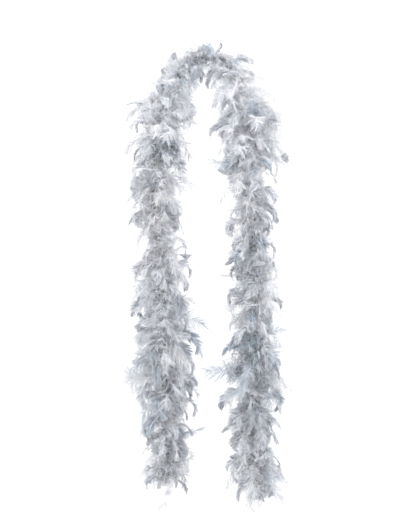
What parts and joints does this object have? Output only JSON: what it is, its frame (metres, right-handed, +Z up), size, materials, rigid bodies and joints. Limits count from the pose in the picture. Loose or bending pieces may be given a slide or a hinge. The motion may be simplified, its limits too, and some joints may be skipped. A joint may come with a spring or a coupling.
{
  "type": "feather boa",
  "caption": "Two-metre feather boa: curled feathers bound in whorls along a twisted core, hung round a neck with two free strands.",
  "frame": {"origin": "middle of the core at the nape, where the boa lies behind the wearer's neck", "axes": "+Z up; -Y is the wearer's front, where both strands hang; +X is on the right as seen from the front"},
  "size_m": [0.3056, 0.2526, 0.9287],
  "materials": {
    "feather": "soft silver-grey down with curled vanes, some teal-grey",
    "core_cotton": "twisted undyed cotton",
    "binding_thread": "matt sewing thread",
    "end_thread": "whipped cotton thread"
  },
  "bodies": {
    "yoke": {"core_yoke": "core_cotton", "binding_yoke": "binding_thread", "feathers_yoke_1": "feather", "feathers_yoke_2": "feather", "feathers_yoke_3": "feather", "feathers_yoke_4": "feather", "feathers_yoke_5": "feather", "feathers_yoke_6": "feather", "feathers_yoke_7": "feather", "feathers_yoke_8": "feather", "feathers_yoke_9": "feather", "feathers_yoke_10": "feather", "feathers_yoke_11": "feather", "feathers_yoke_12": "feather", "feathers_yoke_13": "feather", "feathers_yoke_14": "feather"},
    "left_strand": {"core_left_strand": "core_cotton", "binding_left_strand": "binding_thread", "feathers_left_strand_1": "feather", "feathers_left_strand_2": "feather", "feathers_left_strand_3": "feather", "feathers_left_strand_4": "feather", "feathers_left_strand_5": "feather", "feathers_left_strand_6": "feather"},
    "left_tail": {"core_left_tail": "core_cotton", "binding_left_tail": "binding_thread", "feathers_left_tail_1": "feather", "feathers_left_tail_2": "feather", "feathers_left_tail_3": "feather", "feathers_left_tail_4": "feather", "feathers_left_tail_5": "feather", "feathers_left_tail_6": "feather", "feathers_left_tail_7": "feather", "end_knot_left": "end_thread", "end_loop_left": "end_thread"},
    "right_strand": {"core_right_strand": "core_cotton", "binding_right_strand": "binding_thread", "feathers_right_strand_1": "feather", "feathers_right_strand_2": "feather", "feathers_right_strand_3": "feather", "feathers_right_strand_4": "feather", "feathers_right_strand_5": "feather", "feathers_right_strand_6": "feather"},
    "right_tail": {"core_right_tail": "core_cotton", "binding_right_tail": "binding_thread", "feathers_right_tail_1": "feather", "feathers_right_tail_2": "feather", "feathers_right_tail_3": "feather", "feathers_right_tail_4": "feather", "feathers_right_tail_5": "feather", "feathers_right_tail_6": "feather", "feathers_right_tail_7": "feather", "end_knot_right": "end_thread", "end_loop_right": "end_thread"}
  },
  "joints": [
    {"name": "left_chest_bend", "type": "hinge", "parent": "yoke", "child": "left_strand", "pos_m": [-0.102, -0.166, -0.224], "axis": [1, 0, 0], "range_deg": [-45, 15]},
    {"name": "right_chest_bend", "type": "hinge", "parent": "yoke", "child": "right_strand", "pos_m": [0.084, -0.166, -0.232], "axis": [1, 0, 0], "range_deg": [-45, 15]},
    {"name": "left_tail_sway", "type": "hinge", "parent": "left_strand", "child": "left_tail", "pos_m": [-0.088, -0.178, -0.524], "axis": [0, 1, 0], "range_deg": [-4, 35]},
    {"name": "right_tail_sway", "type": "hinge", "parent": "right_strand", "child": "right_tail", "pos_m": [0.094, -0.178, -0.53], "axis": [0, -1, 0], "range_deg": [-4, 35]}
  ]
}
